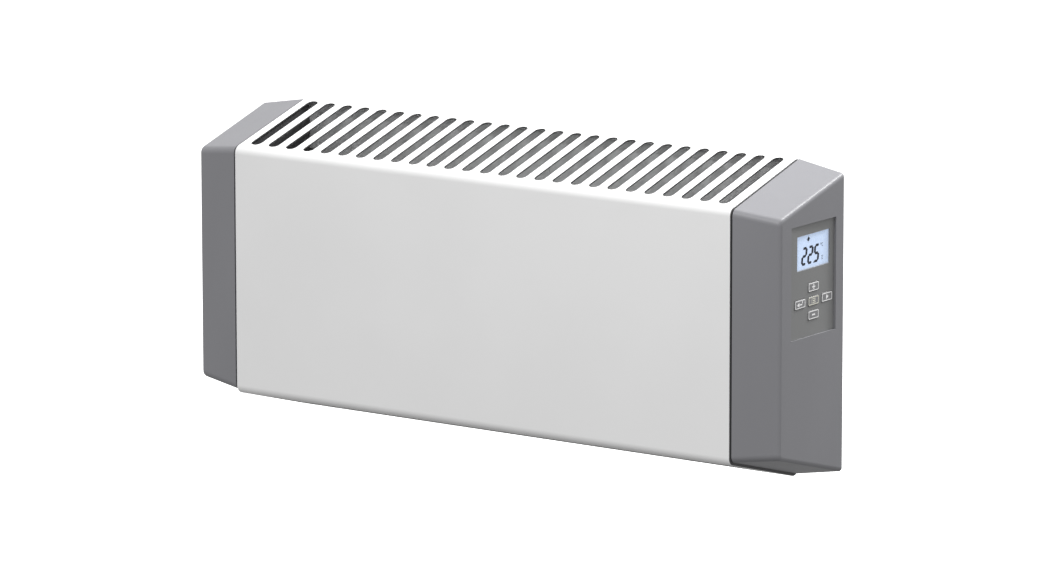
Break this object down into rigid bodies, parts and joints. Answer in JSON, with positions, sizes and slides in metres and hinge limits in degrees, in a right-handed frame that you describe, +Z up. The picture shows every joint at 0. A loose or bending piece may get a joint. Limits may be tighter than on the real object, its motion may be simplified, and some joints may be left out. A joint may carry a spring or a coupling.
{
  "type": "fan convector heater",
  "caption": "Wall-mounted electric fan convector heater: flared white steel casing slotted above and below, grey moulded end caps, lit display and sprung keys in the right cap.",
  "frame": {"origin": "centre of the wall face, where the back plate meets the wall", "axes": "+Z up, +X to the right seen from the front (the cap with the controls), +Y into the wall"},
  "size_m": [0.65, 0.113, 0.2924],
  "materials": {
    "casing_white": "satin white powder coat",
    "galvanised": "galvanised",
    "bulkhead_grey": "dark grey coat",
    "cap_grey": "moulded mid grey",
    "fascia_grey": "satin grey overlay",
    "lens_clear": "clear window",
    "lcd": "light blue liquid-crystal cell",
    "backlight": "white",
    "key_grey": "grey key with light print",
    "switch_black": "black",
    "pcb_green": "solder resist",
    "component_black": "black",
    "relay_blue": "component housings",
    "nylon": "natural nylon",
    "fan_aluminium": "pressed",
    "rubber_black": "black",
    "steel": "ground",
    "laminations": "laminated core",
    "winding": "varnished winding",
    "zinc_cast": "die cast",
    "bronze": "sintered",
    "element_sheath": "heat-tinted sheath",
    "fin_aluminium": "fins",
    "ceramic_white": "steatite",
    "brass": "turned",
    "terminal_white": "natural polyamide",
    "wire_brown": "insulated wire",
    "wire_red": "silicone sleeve",
    "wire_blue": "insulated wire",
    "ribbon_grey": "ribbon",
    "zinc_screw": "zinc plated"
  },
  "bodies": {
    "heater": {"front_casing": "casing_white", "back_plate": "galvanised", "bulkhead_left": "bulkhead_grey", "bulkhead_right": "bulkhead_grey", "end_cap_left": "cap_grey", "end_cap_right": "cap_grey", "control_fascia": "fascia_grey", "display_lens": "lens_clear", "display_glass": "lcd", "backlight_box": "backlight", "key_switches": "switch_black", "control_board": "pcb_green", "control_board_parts": "component_black", "power_board": "pcb_green", "power_board_parts": "relay_blue", "power_board_spacers": "nylon", "motor_stator": "laminations", "motor_coil": "winding", "motor_frame_outer": "zinc_cast", "motor_frame_inner": "zinc_cast", "motor_bearings": "bronze", "motor_bracket": "galvanised", "fan_rear_guide": "galvanised", "fan_tongue": "galvanised", "duct_end_plate_left": "galvanised", "duct_end_plate_right": "galvanised", "fan_end_bearing": "rubber_black", "heating_element": "element_sheath", "element_fins": "fin_aluminium", "element_bushes": "ceramic_white", "element_terminals": "ceramic_white", "thermal_cutout": "component_black", "terminal_block": "terminal_white", "terminal_screws": "brass", "cable_grommet": "rubber_black", "cable_clamp": "nylon", "air_sensor": "nylon", "supply_wires": "wire_brown", "element_wires": "wire_red", "motor_wires": "wire_blue", "control_ribbon": "ribbon_grey", "cap_screws_left": "zinc_screw", "cap_screws_right": "zinc_screw", "base_screws": "zinc_screw", "control_board_screws": "zinc_screw"},
    "fan_rotor": {"fan_impeller": "fan_aluminium", "fan_drive_hub": "rubber_black", "fan_stub_shaft": "steel", "motor_shaft": "steel", "motor_rotor": "steel"},
    "plus_key": {"key_plus": "key_grey"},
    "minus_key": {"key_minus": "key_grey"},
    "menu_key": {"key_menu": "key_grey"},
    "back_key": {"key_back": "key_grey"},
    "next_key": {"key_next": "key_grey"}
  },
  "joints": [
    {"name": "fan_spin", "type": "hinge", "parent": "heater", "child": "fan_rotor", "pos_m": [0, -0.058, -0.07], "axis": [1, 0, 0], "continuous": true},
    {"name": "plus_press", "type": "slide", "parent": "heater", "child": "plus_key", "axis": [-1, 0, 0], "range_m": [0, 0.0005], "stiffness_N_per_m": 1500, "springref_m": -0.0003},
    {"name": "minus_press", "type": "slide", "parent": "heater", "child": "minus_key", "axis": [-1, 0, 0], "range_m": [0, 0.0005], "stiffness_N_per_m": 1500, "springref_m": -0.0003},
    {"name": "menu_press", "type": "slide", "parent": "heater", "child": "menu_key", "axis": [-1, 0, 0], "range_m": [0, 0.0005], "stiffness_N_per_m": 1500, "springref_m": -0.0003},
    {"name": "back_press", "type": "slide", "parent": "heater", "child": "back_key", "axis": [-1, 0, 0], "range_m": [0, 0.0005], "stiffness_N_per_m": 1500, "springref_m": -0.0003},
    {"name": "next_press", "type": "slide", "parent": "heater", "child": "next_key", "axis": [-1, 0, 0], "range_m": [0, 0.0005], "stiffness_N_per_m": 1500, "springref_m": -0.0003}
  ]
}
